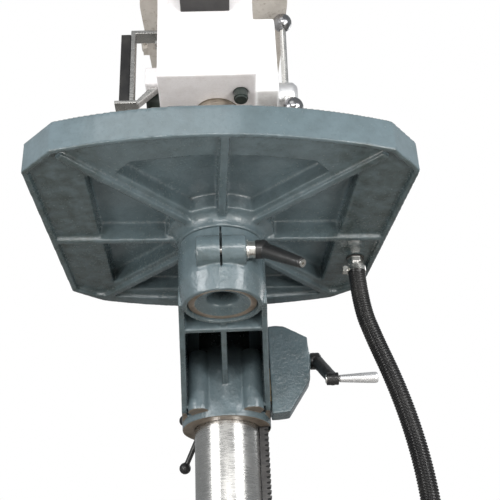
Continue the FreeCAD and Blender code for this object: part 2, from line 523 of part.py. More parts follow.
# ---------------------------------------------------------------- elevating gearbox on the right of the arm
GY0, GY1 = 130.0, 224.0                           # machine frame
out_pts = [(79.8, 938), (96, 939), (110, 937), (151, 914), (153, 874), (151, 833), (112, 774), (92, 772), (79.8, 772)]
rear_pts = [(79.8, 938), (96, 939), (110, 937), (147, 916), (149, 874), (140, 838), (112, 797), (92, 795), (79.8, 795)]
GYM = 171.0                                       # the wheel's case in front, the pinion's case behind
gb = fuse([slab(out_pts, "y", GY0, GYM), slab(rear_pts, "y", GYM, GY1)])
inner_rear = slab([(79, 920), (108, 920), (138, 902), (140, 874), (132, 840), (108, 806), (79, 806)], "y", GYM - 8, GY1 - 9)
inner = slab([(79, 920), (108, 920), (140, 902), (143, 874), (141, 838), (106, 786), (79, 786)], "y", GY0 + 9, GYM - 8)
gb = gb.cut([inner, inner_rear])
gb = gb.cut(Part.makeCompound([
    cyl(100, WORM_Y, WORM_Z, 12 + FIT, 70, X),
    cyl(PIN_X, GY0 + 3, PIN_Z, 9 + FIT, 90, Y),
]))
gb = fuse([gb, tube(150, WORM_Y, WORM_Z, 17.5, 12 + FIT, 5.2, X)])
put("gearbox_housing", gb)
ws = fuse([cyl(76, WORM_Y, WORM_Z, WORM_R - 0.6, 38, X), cyl(110, WORM_Y, WORM_Z, 12, 57, X)])
grooves = []
for k in range(6):
    grooves.append(tube(80 + k * 5.4, WORM_Y, WORM_Z, 13, 9.4, 2.2, X))
ws = ws.cut(Part.makeCompound(grooves))
put("worm_shaft", ws)
wheel_y0, wheel_y1 = WORM_Y - 8, WORM_Y + 8
ww = fuse([cyl(PIN_X, wheel_y0, PIN_Z, WHEEL_R - 0.3, 16, Y), cyl(PIN_X, wheel_y1, PIN_Z, 15, 15, Y)])
ww = ww.cut(cyl(PIN_X, GY0, PIN_Z, 9, 90, Y))
put("worm_wheel", ww)
pg = spur(RM, 12, 19, 9)
pg.Placement = FreeCAD.Placement()
pg.rotate(V(0, 0, 0), X, -90)                     # gear axis along +Y
pg.rotate(V(0, 0, 0), Y, 15)                      # a gap faces the rack tooth at the pinion's height
pg.translate(V(PIN_X, COL_Y - 9.5, PIN_Z))
put("lift_pinion", fuse([pg, tube(PIN_X, COL_Y + 9.5, PIN_Z, 12, 9, 10, Y)]))
put("pinion_shaft", cyl(PIN_X, GY0 + 4, PIN_Z, 9, 86, Y))

# crank: hub, offset arm, grip on a bolt
HUBX = 155.6
CT = V(183, WORM_Y - 80, WORM_Z - 66)              # crank tip
chub = fuse([cyl(HUBX, WORM_Y, WORM_Z, 15.5, 15, X), cone(HUBX + 15, WORM_Y, WORM_Z, 15.5, 11.5, 4, X)])
p0, p1 = V(HUBX + 11.6, WORM_Y, WORM_Z), V(CT.x, CT.y, CT.z)
dd = p1 - p0
du = V(dd)
du.normalize()
carm = fuse([Part.makeCone(11.6, 10.8, dd.Length + 4, p0, dd), Part.makeCone(10.8, 6.5, 5.5, p1 + du * 4, dd)])
crank = fuse([chub, carm, cyl(CT.x - 10.5, CT.y, CT.z, 10.8, 20.5, X)])
crank = crank.cut(cyl(HUBX - 1, WORM_Y, WORM_Z, 12, 12.5, X)).cut(cyl(CT.x - 20, CT.y, CT.z, 4, 40, X)).cut(cyl(CT.x - 21, CT.y, CT.z, 7.6, 13.5, X))
put("crank_arm", crank)
GX0 = 194.0
gp = [(4 + FIT, 0), (5.6, 0), (6.4, 2), (6.8, 10), (7.7, 25), (8.7, 42), (9.3, 56), (9.4, 62), (8.8, 65), (8.0, 66), (6.4, 66), (6.4, 62), (4 + FIT, 62)]
vs = [V(GX0 + h, CT.y, CT.z + r) for r, h in gp]
grip = Part.Face(Part.makePolygon(vs + [vs[0]])).revolve(V(GX0, CT.y, CT.z), X, 360)
put("crank_grip", grip)
put("crank_grip_bolt", fuse([cyl(CT.x - 12, CT.y, CT.z, 4, GX0 + 62.2 - CT.x + 12, X), cyl(CT.x - 12, CT.y, CT.z, 7.2, 4.4, X).cut(hexagon(CT.x - 8.6, CT.y, CT.z, 6, 5, V(-1, 0, 0))), cyl(GX0 + 62.4, CT.y, CT.z, 6.0, 3.2, X)]))

# ---------------------------------------------------------------- table casting (table frame)
OUT = [(-234.4, -239.1), (234.4, -239.1), (280, -188.6), (253.9, 170.5), (204.7, 208.6), (-204.7, 208.6), (-253.9, 170.5), (-280, -188.6)]
OUT_ARC = {0: (0, -275.6), 4: (0, 239.5)}
t = RIM_T
INN = [(-230.4, -230.6), (230.4, -230.6), (270.3, -186.2), (244.6, 165.8), (201.6, 199.2), (-201.6, 199.2), (-244.6, 165.8), (-270.3, -186.2)]
INN_ARC = {0: (0, -275.6 + t), 4: (0, 230.3)}
PLATE = [(-163, -211), (163, -211), (207, -166), (194, 150), (158, 186), (-158, 186), (-194, 150), (-207, -166)]
PLATE_ARC = {0: (0, -227), 4: (0, 204)}
tab = prism(OUT, 0, TABLE_H, OUT_ARC)
ring = prism(INN, FLOOR_T1, TABLE_H + 1, INN_ARC).cut(prism(PLATE, FLOOR_T1, TABLE_H + 1, PLATE_ARC))
tab = tab.cut(ring)
# underside: shallow recess inside the rim, then deep pockets
UND = [(-230.4, -230.6), (230.4, -230.6), (270.3, -186.2), (244.6, 165.8), (213, 187), (-213, 187), (-244.6, 165.8), (-270.3, -186.2)]
tab = tab.cut(prism(UND, -1, FLOOR_T0, {0: (0, -275.6 + t), 4: (0, 207)}))


q = 17.5 * math.sqrt(2)                           # half width of the band over a T slot, measured along x or y
pk = []
for sx in (-1, 1):
    # front pocket, beside the front rib
    pk.append(prism([(sx * 7, -215), (sx * 45, -214), (sx * 128, -201), (sx * 150, -150 - q), (sx * 45, -45 - q), (sx * 7, -45 - q)], FLOOR_T0 - 1, RECESS_Z))
    # side pockets, before and behind the cross rib
    pk.append(prism([(sx * 195, -195 + q), (sx * 189, -3), (sx * 45, -3), (sx * 45, -45 + q)], FLOOR_T0 - 1, RECESS_Z))
    pk.append(prism([(sx * 186, 9), (sx * 181, 181 - q), (sx * 45, 45 - q), (sx * 45, 9)], FLOOR_T0 - 1, RECESS_Z))
    # rear pocket
    pk.append(prism([(sx * 7, 45 + q), (sx * 7, 182), (sx * (180 - q), 180), (sx * 45, 45 + q)], FLOOR_T0 - 1, RECESS_Z))
tab = tab.cut(pk)
ribs = [box(-6, 6, -268, -50, 0, 40), box(-6, 6, 50, 215, 0, 40)]
for sx in (-1, 1):
    ribs.append(box(min(sx * 50, sx * 262), max(sx * 50, sx * 262), -3, 9, 0, 40))
for a in (45, 135, 225, 315):
    L = 318 if a > 180 else 288
    r = box(50, L, -6.8, 6.8, 0, 26)
    r.rotate(V(0, 0, 0), Z, a)
    ribs.append(r)
ribs = [r.common(prism(OUT, 0, TABLE_H, OUT_ARC)) for r in ribs]
HB = BOSS_Z1 + 0.4                                # the hub's lower face, blended up into the plate
HUBB = revolve([(0, 0), (HUB_R, 0), (HUB_R, 4.6)] + [(HUB_R + 17 - 17 * math.cos(k * math.pi / 12), 4.6 + 17 * math.sin(k * math.pi / 12)) for k in range(1, 7)] + [(HUB_R + 17, 38 - HB), (0, 38 - HB)], 0, 0, HB)
tab = fuse([tab] + ribs + [HUBB, cyl(0, 0, STEM_Z, STEM_R, 140)])
# ribs never stand in the trough
tab = tab.cut(ring)
tcut = [cyl(0, 0, STEM_Z - 1, STEM_BORE, 31 - STEM_Z), cone(0, 0, STEM_Z, DISH_R, STEM_BORE, 8)]
for a in (45, 135, 225, 315):
    for w, z0, z1 in ((8, 37, 60), (13, 28, 37)):
        s = box(62, 300, -w, w, z0, z1)
        s.rotate(V(0, 0, 0), Z, a)
        tcut.append(s.common(prism(PLATE, 20, 60, PLATE_ARC)))
FX, FY = 228.0, 77.0                              # drain, table frame
tcut.append(cyl(FX, FY, -1, 8, 30))
tab = tab.cut(tcut)
put("table_casting", on_table(tab.removeSplitter()))

# drain fitting: washer, hexagon, neck and barb, bored through
fit = fuse([cyl(FX, FY, -14, 8, 34), hexagon(FX, FY, -3, 22.6, 9, Z), cyl(FX, FY, 6, 15, 2), cyl(FX, FY, -9, 9.6, 6), cyl(FX, FY, -26, 9.2, 17)])
fit = fit.cut(cyl(FX, FY, -27, 5.5, 60))
put("drain_fitting", on_table(fit))

# hose clamp round the top of the hose, with its screw housing towards -X
HT = -10.0                                         # top of the hose from the rim's lower edge
HB = -21.0
cl = tube(FX, FY, -19.5, 15.9, 14.6, 9, Z)
cl = fuse([cl, box(FX - 23.5, FX - 15.0, FY - 6, FY + 6, -19, -11), cyl(FX - 19.5, FY - 9, -15, 4.2, 6, Y), cyl(FX - 19.5, FY - 5, -15, 2.6, 14, Y)])
put("hose_clamp", on_table(cl))

# ---------------------------------------------------------------- drain hose: route in the machine frame
c, s_ = math.cos(math.radians(TABLE_TURN)), math.sin(math.radians(TABLE_TURN))
hx, hy = FX * c - FY * s_, FX * s_ + FY * c + SP_Y
HOSE = [(hx, hy, TABLE_Z - 10.0), (hx + 0.3, hy - 0.3, 890.0), (240.5, -51.0, 825.0), (258.5, -60.0, 760.0), (273.0, -67.0, 694.0),
        (283.0, -73.0, 625.0), (287.0, -78.0, 555.0), (285.0, -81.0, 490.0), (279.0, -83.0, 430.0)]


def cord_wire(pts, label):
    P = [V(*p) for p in pts]
    n = len(P)
    runs = [(P[i + 1] - P[i]).Length for i in range(n - 1)]
    cuts_at = []
    for i in range(1, n - 1):
        u = (P[i] - P[i - 1]).normalize()
        w = (P[i + 1] - P[i]).normalize()
        turn = u.getAngle(w)
        k = 0.45 * min(runs[i - 1], runs[i])
        R = k / math.tan(turn / 2)
        cuts_at.append((k, R, math.degrees(turn)))
        print(label, "point", i, "turn %.1f deg radius %.0f mm" % (math.degrees(turn), R))
    es = []
    cur = P[0]
    length = 0.0
    for i in range(1, n - 1):
        k, R, _ = cuts_at[i - 1]
        u = (P[i] - P[i - 1]).normalize()
        w = (P[i + 1] - P[i]).normalize()
        a = P[i] - u * k
        b = P[i] + w * k
        bis = (w - u).normalize()
        h = R / math.cos(u.getAngle(w) / 2) - R
        mid = P[i] + bis * h
        es.append(Part.LineSegment(cur, a).toShape())
        es.append(Part.Arc(a, mid, b).toShape())
        cur = b
    es.append(Part.LineSegment(cur, P[-1]).toShape())
    length = sum(e.Length for e in es)
    return Part.Wire(es), length


wire, hose_len = cord_wire(HOSE, "hose")


def pipe(w, pts, r):
    t0 = (V(*pts[1]) - V(*pts[0])).normalize()
    circ = Part.Wire(Part.makeCircle(r, V(*pts[0]), t0))
    return w.makePipeShell([circ], True, False)


ho, hi = pipe(wire, HOSE, HOSE_D / 2), pipe(wire, HOSE, 9.4)
hose = ho.cut(hi)
print("hose length %.1f volume %.0f expected %.0f" % (hose_len, hose.Volume, math.pi * ((HOSE_D / 2) ** 2 - 9.4 ** 2) * hose_len))
put("drain_hose", hose)

# ---------------------------------------------------------------- write the parts
for name, shape in sorted(NODES.items()):
    shape.exportStep("parts/%s.step" % name)
print(len(NODES), "nodes")
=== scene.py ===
import json
import math
import bpy
import numpy as np
from mathutils import Matrix, Vector


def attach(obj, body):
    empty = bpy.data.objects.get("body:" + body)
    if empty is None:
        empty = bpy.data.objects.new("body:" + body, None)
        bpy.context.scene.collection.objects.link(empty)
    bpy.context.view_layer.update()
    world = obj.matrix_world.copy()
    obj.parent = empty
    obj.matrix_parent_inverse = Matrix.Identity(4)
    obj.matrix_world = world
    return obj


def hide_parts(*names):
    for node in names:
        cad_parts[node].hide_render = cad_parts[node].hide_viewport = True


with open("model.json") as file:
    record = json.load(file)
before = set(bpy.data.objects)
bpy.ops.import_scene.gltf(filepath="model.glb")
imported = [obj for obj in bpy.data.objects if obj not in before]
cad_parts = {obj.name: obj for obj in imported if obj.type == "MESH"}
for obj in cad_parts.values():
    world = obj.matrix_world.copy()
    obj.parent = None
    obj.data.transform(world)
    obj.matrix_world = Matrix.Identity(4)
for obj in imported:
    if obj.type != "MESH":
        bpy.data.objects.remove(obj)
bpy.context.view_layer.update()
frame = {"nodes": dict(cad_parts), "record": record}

N = frame["nodes"]
scene = bpy.context.scene
rng = np.random.default_rng(11)
BODY = {n: b for b, ns in frame["record"]["behaviour"]["bodies"].items() for n in ns}

# ---------------------------------------------------------------- camera
pitch, yaw, roll = 0.5179965, 0.0355073, -0.0486870
fw = Vector((math.sin(yaw) * math.cos(pitch), math.cos(yaw) * math.cos(pitch), math.sin(pitch)))
right = Vector((math.cos(yaw), -math.sin(yaw), 0))
up = right.cross(fw)
r2 = math.cos(roll) * right + math.sin(roll) * up
u2 = -math.sin(roll) * right + math.cos(roll) * up
cam = bpy.data.objects.new("camera", bpy.data.cameras.new("camera"))
scene.collection.objects.link(cam)
m = Matrix.Identity(4)
for i in range(3):
    m[i][0], m[i][1], m[i][2] = r2[i], u2[i], -fw[i]
m[0][3], m[1][3], m[2][3] = 0.0033955, -1.3186115, 0.2733087
cam.matrix_world = m
cam.data.sensor_width = 36
cam.data.lens = 868.0797 / 500 * 36
cam.data.clip_start, cam.data.clip_end = 0.01, 60
scene.camera = cam


# ---------------------------------------------------------------- material tools
class Mat:
    def __init__(s, name):
        s.m = bpy.data.materials.new(name)
        s.m.use_nodes = True
        s.t = s.m.node_tree
        s.t.nodes.clear()
        out = s.n("ShaderNodeOutputMaterial")
        s.p = s.n("ShaderNodeBsdfPrincipled")
        s.link(s.p.outputs[0], out.inputs[0])
        s.co = s.n("ShaderNodeTexCoord").outputs["Object"]

    def n(s, kind, **kw):
        node = s.t.nodes.new(kind)
        for k, v in kw.items():
            setattr(node, k, v)
        return node

    def link(s, a, b):
        s.t.links.new(a, b)

    def put(s, socket, v):
        if isinstance(v, (int, float)):
            socket.default_value = v
        elif isinstance(v, tuple):
            socket.default_value = v if len(v) == 4 else (*v, 1)
        else:
            s.link(v, socket)

    def vec(s, x, y, z):
        v = s.n("ShaderNodeVectorMath", operation="MULTIPLY")
        s.link(s.co, v.inputs[0])
        v.inputs[1].default_value = (x, y, z)
        return v.outputs[0]

    def noise(s, scale, detail=3.0, rough=0.55, dist=0.0, vec=None):
        t = s.n("ShaderNodeTexNoise")
        s.link(vec or s.co, t.inputs["Vector"])
        t.inputs["Scale"].default_value = scale
        t.inputs["Detail"].default_value = detail
        t.inputs["Roughness"].default_value = rough
        t.inputs["Distortion"].default_value = dist
        return t.outputs[0]

    def cells(s, scale, vec=None, feature="F1"):
        t = s.n("ShaderNodeTexVoronoi", feature=feature)
        s.link(vec or s.co, t.inputs["Vector"])
        t.inputs["Scale"].default_value = scale
        return t.outputs[0], t.outputs[1]

    def math(s, op, a, b=0.0, clamp=False):
        t = s.n("ShaderNodeMath", operation=op, use_clamp=clamp)
        s.put(t.inputs[0], a)
        s.put(t.inputs[1], b)
        return t.outputs[0]

    def remap(s, v, a, b, c=0.0, d=1.0):
        t = s.n("ShaderNodeMapRange")
        s.link(v, t.inputs[0])
        for i, x in enumerate((a, b, c, d)):
            t.inputs[i + 1].default_value = x
        return t.outputs[0]

    def mix(s, f, a, b, blend="MIX"):
        t = s.n("ShaderNodeMix", data_type="RGBA", blend_type=blend)
        s.put(t.inputs[0], f)
        s.put(t.inputs[6], a)
        s.put(t.inputs[7], b)
        return t.outputs[2]

    def mixf(s, f, a, b):
        t = s.n("ShaderNodeMix", data_type="FLOAT")
        s.put(t.inputs[0], f)
        s.put(t.inputs[2], a)
        s.put(t.inputs[3], b)
        return t.outputs[0]

    def attr(s, name):
        return s.n("ShaderNodeAttribute", attribute_name=name).outputs["Fac"]

    def point(s):
        return s.n("ShaderNodeNewGeometry").outputs["Pointiness"]

    def xyz(s):
        t = s.n("ShaderNodeSeparateXYZ")
        s.link(s.co, t.inputs[0])
        return t.outputs

    def bump(s, h, strength, dist, normal=None):
        b = s.n("ShaderNodeBump")
        b.inputs["Strength"].default_value = strength
        b.inputs["Distance"].default_value = dist
        s.link(h, b.inputs["Height"])
        if normal is not None:
            s.link(normal, b.inputs["Normal"])
        return b.outputs[0]

    def done(s, col, rough, metal=0.0, normal=None, **const):
        s.put(s.p.inputs["Base Color"], col)
        s.put(s.p.inputs["Roughness"], rough)
        s.put(s.p.inputs["Metallic"], metal)
        if normal is not None:
            s.link(normal, s.p.inputs["Normal"])
        for k, v in const.items():
            s.p.inputs[k.replace("_", " ")].default_value = v
        return s.m


def srgb(r, g, b):
    return tuple(((c / 255 + 0.055) / 1.055) ** 2.4 if c > 10 else c / 255 / 12.92 for c in (r, g, b))


# the fourth argument is the colour of the dirt mottling and also of the painted shade in creases
def cast_paint(name, c1, c2, dirt_and_shade, chip, rough=0.19, pebble=0.7, grain=210, raw=True, highlight_block=None):
    """Enamel over sand-cast iron. Points whose attribute raw is 1 are machined and bare."""
    g = Mat(name)
    big = g.noise(6, 4, 0.6, 0.4)
    mid = g.noise(46, 4, 0.6)
    fine = g.noise(grain, 4, 0.62)
    tiny = g.noise(grain * 3.4, 2, 0.5)
    col = g.mix(g.remap(big, 0.34, 0.66), c1, c2)
    # painted highlight: points beyond x = lim get a near-white colour in place of the reflection on the block right
    # of the head
    if highlight_block:
        lim, highlight_col = highlight_block
        col = g.mix(g.remap(g.xyz()[0], lim - 0.0005, lim + 0.0005), col, highlight_col)
    col = g.mix(g.math("MULTIPLY", g.remap(mid, 0.4, 0.72), 0.22), col, dirt_and_shade)
    col = g.mix(g.math("MULTIPLY", g.remap(fine, 0.52, 0.75), 0.22), col, dirt_and_shade)
    cave = g.remap(g.point(), 0.487, 0.40)
    # painted shade: this attribute darkens down-facing and under-table surfaces towards a dark green
    film = g.math("MULTIPLY", g.attr("film"), g.remap(mid, 0.3, 0.7, 0.34, 0.74))
    col = g.mix(film, col, srgb(38, 45, 38))
    # concave creases (low pointiness) are darkened towards that colour: dirt settled there plus painted shade
    # standing in for ambient occlusion
    crevice_dirt_and_shade = g.math("MULTIPLY", cave, g.remap(mid, 0.25, 0.7, 0.35, 0.95))
    col = g.mix(crevice_dirt_and_shade, col, dirt_and_shade)
    edge = g.math("MULTIPLY", g.remap(g.point(), 0.545, 0.60), g.remap(g.noise(95, 5, 0.7), 0.56, 0.64))
    col = g.mix(g.math("MULTIPLY", edge, 0.75), col, chip)
    r = g.math("ADD", g.remap(fine, 0.3, 0.7, rough - 0.05, rough + 0.08), g.math("MULTIPLY", crevice_dirt_and_shade, 0.28))
    r = g.math("ADD", r, g.remap(big, 0.3, 0.7, -0.03, 0.06), True)
    metal = 0.0
    h = g.math("ADD", g.math("MULTIPLY", fine, 0.75), g.math("MULTIPLY", mid, 1.1))
    h = g.math("ADD", h, g.math("MULTIPLY", tiny, 0.12))
    if raw:
        h = g.math("MULTIPLY", h, g.remap(g.attr("calm"), 0.0, 1.0, 1.0, 0.16))
    nrm = g.bump(h, pebble, 0.0016)
    if raw:
        a = g.attr("raw")
        streak = g.noise(60, 4, 0.65, 0.0, g.vec(1, 14, 14))
        rawc = g.mix(g.remap(streak, 0.35, 0.65), srgb(112, 98, 84), srgb(150, 137, 122))
        rawc = g.mix(g.math("MULTIPLY", g.remap(mid, 0.45, 0.7), 0.5), rawc, srgb(74, 52, 36))
        # painted shade: this attribute takes the paint to near black inside the stem bore, the arm's pockets and the
        # clamp slit
        soot = g.math("MULTIPLY", g.attr("soot"), g.remap(mid, 0.3, 0.7, 0.86, 1.0))
        col = g.mix(soot, col, srgb(15, 15, 14))
        col = g.mix(a, col, rawc)
        r = g.mixf(a, r, g.remap(streak, 0.3, 0.7, 0.34, 0.52))
        metal = g.math("MULTIPLY", a, 0.45)
    return g.done(col, r, metal, nrm, Specular_IOR_Level=0.6, Coat_Weight=0.35, Coat_Roughness=0.12)


def steel(name, c1, c2, rough=0.28, streak=(1, 1, 12), scale=80, stain=0.25, stainc=(0.05, 0.035, 0.025), metal=1.0, bump=0.12):
    g = Mat(name)
    s1 = g.noise(scale, 5, 0.6, 0.0, g.vec(*streak))
    s2 = g.noise(30, 4, 0.6, 0.3)
    s3 = g.noise(420, 3, 0.6)
    col = g.mix(g.remap(s1, 0.33, 0.67), c1, c2)
    col = g.mix(g.math("MULTIPLY", g.remap(s2, 0.5, 0.8), stain), col, stainc)
    cave = g.remap(g.point(), 0.485, 0.41)
    col = g.mix(g.math("MULTIPLY", cave, 0.6), col, stainc)
    r = g.math("ADD", g.remap(s1, 0.3, 0.7, rough - 0.06, rough + 0.08), g.remap(s2, 0.45, 0.8, 0.0, 0.16), True)
    h = g.math("ADD", s1, g.math("MULTIPLY", s3, 0.5))
    return g.done(col, r, metal, g.bump(h, bump, 0.0004))


def plastic(name, c, rough=0.38, grain=520, bump=0.2, dust=(0.2, 0.19, 0.17), dusty=0.12):
    g = Mat(name)
    a = g.noise(grain, 3, 0.6)
    b = g.noise(24, 4, 0.6)
    cave = g.remap(g.point(), 0.49, 0.42)
    col = g.mix(g.math("MULTIPLY", g.remap(b, 0.4, 0.75), dusty), c, dust)
    col = g.mix(g.math("MULTIPLY", cave, dusty * 1.6), col, dust)
    r = g.math("ADD", g.remap(a, 0.3, 0.7, rough - 0.05, rough + 0.08), g.remap(b, 0.4, 0.75, 0.0, 0.1), True)
    return g.done(col, r, 0.0, g.bump(a, bump, 0.0004))


PAINT1, PAINT2 = srgb(99, 113, 119), srgb(90, 105, 110)
enamel = cast_paint("enamel_cast", PAINT1, PAINT2, srgb(44, 48, 44), srgb(150, 158, 158))
enamel_top = cast_paint("enamel_smooth", PAINT1, PAINT2, srgb(52, 56, 52), srgb(140, 148, 150), 0.3, 0.14, 320)
# painted highlight: the block right of x = 0.0665 m is coloured near white for its reflection
cream = cast_paint("head_paint", srgb(246, 243, 244), srgb(240, 237, 238), srgb(196, 188, 182), srgb(180, 172, 162), 0.3, 0.2, 260,
                   highlight_block=(0.0665, srgb(254, 254, 254)))
sheet = cast_paint("sheet_paint", srgb(206, 200, 192), srgb(198, 191, 183), srgb(132, 122, 110), srgb(160, 150, 138), 0.34, 0.05, 700, raw=False)
black_cast = cast_paint("black_cast", srgb(19, 19, 20), srgb(14, 14, 15), srgb(10, 9, 9), srgb(60, 58, 54), 0.46, 0.6, 330, raw=False)
black_paint = cast_paint("black_paint", srgb(30, 30, 31), srgb(24, 24, 25), srgb(14, 13, 12), srgb(98, 92, 84), 0.3, 0.12, 420, raw=False)
dark_end = cast_paint("dark_green_paint", srgb(48, 58, 54), srgb(40, 49, 46), srgb(20, 22, 20), srgb(120, 118, 108), 0.3, 0.2, 320, raw=False)
ground = steel("ground_steel", (0.50, 0.49, 0.47), (0.62, 0.61, 0.59), 0.24, (1, 1, 16), 60, 0.18)
turned = steel("turned_steel", (0.42, 0.37, 0.31), (0.60, 0.55, 0.48), 0.3, (1, 1, 14), 70, 0.3, (0.10, 0.06, 0.035))
dark = steel("dark_steel", (0.045, 0.044, 0.045), (0.075, 0.072, 0.07), 0.36, (1, 1, 3), 90, 0.3, (0.03, 0.02, 0.015), 0.75)
zinc = steel("zinc_plate", (0.72, 0.71, 0.68), (0.86, 0.85, 0.82), 0.24, (1, 1, 1), 45, 0.22, (0.18, 0.16, 0.12))
bronze = steel("bronze", (0.46, 0.34, 0.20), (0.58, 0.47, 0.31), 0.3, (10, 1, 1), 70, 0.3, (0.10, 0.06, 0.03))
alu = steel("aluminium", (0.80, 0.80, 0.81), (0.90, 0.90, 0.91), 0.34, (1, 8, 8), 70, 0.08, (0.42, 0.41, 0.39), 0.8)
ball_steel = steel("ball_steel", (0.30, 0.30, 0.31), (0.40, 0.40, 0.41), 0.2, (1, 1, 1), 60, 0.15)
rawiron = steel("raw_iron", (0.16, 0.13, 0.11), (0.28, 0.24, 0.20), 0.45, (1, 1, 5), 70, 0.5, (0.07, 0.04, 0.025), 0.8, 0.3)
black_plastic = plastic("black_plastic", srgb(26, 26, 27))
green_plastic = plastic("green_plastic", srgb(28, 120, 62), 0.3)
red_plastic = plastic("red_plastic", srgb(172, 28, 24), 0.3)
rubber = plastic("belt_rubber", srgb(28, 27, 26), 0.62, 380, 0.35, (0.16, 0.14, 0.12), 0.25)
hose_mat = plastic("hose_plastic", srgb(17, 17, 19), 0.17, 700, 0.05, (0.17, 0.165, 0.15), 0.08)


# ---------------------------------------------------------------- mesh tools
def read(me):
    co = np.empty(len(me.vertices) * 3)
    me.vertices.foreach_get("co", co)
    no = np.empty(len(me.vertices) * 3)
    me.vertices.foreach_get("normal", no)
    return co.reshape(-1, 3), no.reshape(-1, 3)


def waves(co, size, count=10, seed=1):
    """Smooth random field in about -1..1 with features of that size."""
    r = np.random.default_rng(seed)
    k = r.normal(size=(count, 3)) / size * 2.2
    ph = r.uniform(0, 6.283, count)
    return np.sin(co @ k.T + ph).sum(1) / math.sqrt(count) / 1.2


def relax(me, rounds, fac=0.5, weight=None):
    co, _ = read(me)
    ed = np.empty(len(me.edges) * 2, np.int64)
    me.edges.foreach_get("vertices", ed)
    ed = ed.reshape(-1, 2)
    n = len(co)
    deg = np.maximum(np.bincount(ed.ravel(), minlength=n), 1).astype(float)
    w = fac * (np.ones(n) if weight is None else weight)
    for _ in range(rounds):
        s = np.stack([np.bincount(ed[:, 0], co[ed[:, 1], k], n) + np.bincount(ed[:, 1], co[ed[:, 0], k], n) for k in range(3)], 1)
        co = co + w[:, None] * (s / deg[:, None] - co)
    me.vertices.foreach_set("co", co.ravel())
    me.update()


def cast(node, voxel, rounds, mat, hold=None, raw=None, lumps=0.0, lump_size=0.02, **marks):
    """The node's solid with the rounded edges and slightly uneven skin of the real part. hold(co) is how freely a point moves, raw(co, no) is 1 where it is machined."""
    src = N[node]
    o = bpy.data.objects.new(node + "_look", src.data.copy())
    scene.collection.objects.link(o)
    md = o.modifiers.new("r", "REMESH")
    md.mode = "VOXEL"
    md.voxel_size = voxel
    md.adaptivity = 0.0
    me = bpy.data.meshes.new_from_object(o.evaluated_get(bpy.context.evaluated_depsgraph_get()))
    o.modifiers.clear()
    o.data = me
    co, _ = read(me)
    relax(me, rounds, 0.5, None if hold is None else hold(co))
    if lumps:
        co, no = read(me)
        w = np.ones(len(co)) if hold is None else hold(co)
        if "calm" in marks:
            w = w * (1 - 0.92 * marks["calm"](co, no))
        d = -lumps * (0.5 + 0.5 * np.clip(waves(co, lump_size, 14, 3), -1, 1)) * w
        co = co + no * d[:, None]
        me.vertices.foreach_set("co", co.ravel())
        me.update()
    co, no = read(me)
    for label, field in {"raw": raw, **marks}.items():
        if field is not None:
            a = me.attributes.new(label, "FLOAT", "POINT")
            a.data.foreach_set("value", np.clip(field(co, no), 0, 1).astype(np.float32))
    me.materials.clear()
    me.materials.append(mat)
    me.polygons.foreach_set("use_smooth", np.ones(len(me.polygons), bool))
    me.update()
    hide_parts(node)
    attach(o, BODY[node])
    return o


def step(x, a, b):
    t = np.clip((x - a) / (b - a), 0, 1)
    return t * t * (3 - 2 * t)


# ---------------------------------------------------------------- drain hose
hose_pts = [(0.224726, -0.043912, 0.960), (0.225026, -0.044212, 0.890), (0.2405, -0.051, 0.825), (0.2585, -0.060, 0.760), (0.273, -0.067, 0.694),
            (0.283, -0.073, 0.625), (0.287, -0.078, 0.555), (0.285, -0.081, 0.490), (0.279, -0.083, 0.430)]
cu = bpy.data.curves.new("hose_line", "CURVE")
cu.dimensions = "3D"
cu.resolution_u = 24
sp = cu.splines.new("NURBS")
sp.points.add(len(hose_pts) - 1)
for p, q in zip(sp.points, hose_pts):
    p.co = (*q, 1)
sp.order_u = 3
sp.use_endpoint_u = True
line = bpy.data.objects.new("hose_line", cu)
scene.collection.objects.link(line)
lm = bpy.data.meshes.new_from_object(line.evaluated_get(bpy.context.evaluated_depsgraph_get()))
path = np.array([v.co for v in lm.vertices], float)
bpy.data.objects.remove(line)
if np.linalg.norm(path[0] - hose_pts[0]) > 0.01:
    path = path[::-1]
seg = np.linalg.norm(np.diff(path, axis=0), axis=1)
path = path[np.r_[True, seg > 1e-7]]
arc = np.r_[0, np.cumsum(np.linalg.norm(np.diff(path, axis=0), axis=1))]
total = arc[-1]
PITCH, PER, AROUND = 0.0046, 10, 40
count = int(total / PITCH * PER)
ss = np.linspace(0, total, count + 1)
cen = np.stack([np.interp(ss, arc, path[:, k]) for k in range(3)], 1)
for _ in range(30):
    cen[1:-1] = (cen[:-2] + 2 * cen[1:-1] + cen[2:]) / 4
tan = np.gradient(cen, axis=0)
tan /= np.linalg.norm(tan, axis=1)[:, None]
u = np.cross(tan[0], (0, 1, 0))
us = []
for t in tan:
    u = u - t * (u @ t)
    u /= np.linalg.norm(u)
    us.append(u)
us = np.array(us)
vs = np.cross(tan, us)
ph = (ss / PITCH) % 1
rib = np.clip(0.5 + 0.5 * np.cos(2 * np.pi * ph), 0, 1) ** 0.62          # round crown, narrow groove
rad = 0.0123 + 0.0021 * rib
rad = np.where(ss < 0.0118, 0.0142, rad)
ang = np.linspace(0, 2 * np.pi, AROUND, endpoint=False)
ring = lambda r: cen[:, None, :] + r[:, None, None] * (np.cos(ang)[None, :, None] * us[:, None, :] + np.sin(ang)[None, :, None] * vs[:, None, :])
outer = ring(rad).reshape(-1, 3)
inner = ring(np.full(len(ss), 0.0094)).reshape(-1, 3)
verts = np.vstack([outer, inner])
L, A = len(ss), AROUND
faces = []
for i in range(L - 1):
    for j in range(A):
        k = (j + 1) % A
        faces.append((i * A + j, i * A + k, (i + 1) * A + k, (i + 1) * A + j))
        o2 = L * A
        faces.append((o2 + i * A + j, o2 + (i + 1) * A + j, o2 + (i + 1) * A + k, o2 + i * A + k))
for i in (0, L - 1):
    for j in range(A):
        k = (j + 1) % A
        a, b, c, d = i * A + j, i * A + k, L * A + i * A + k, L * A + i * A + j
        faces.append((a, d, c, b) if i == 0 else (a, b, c, d))
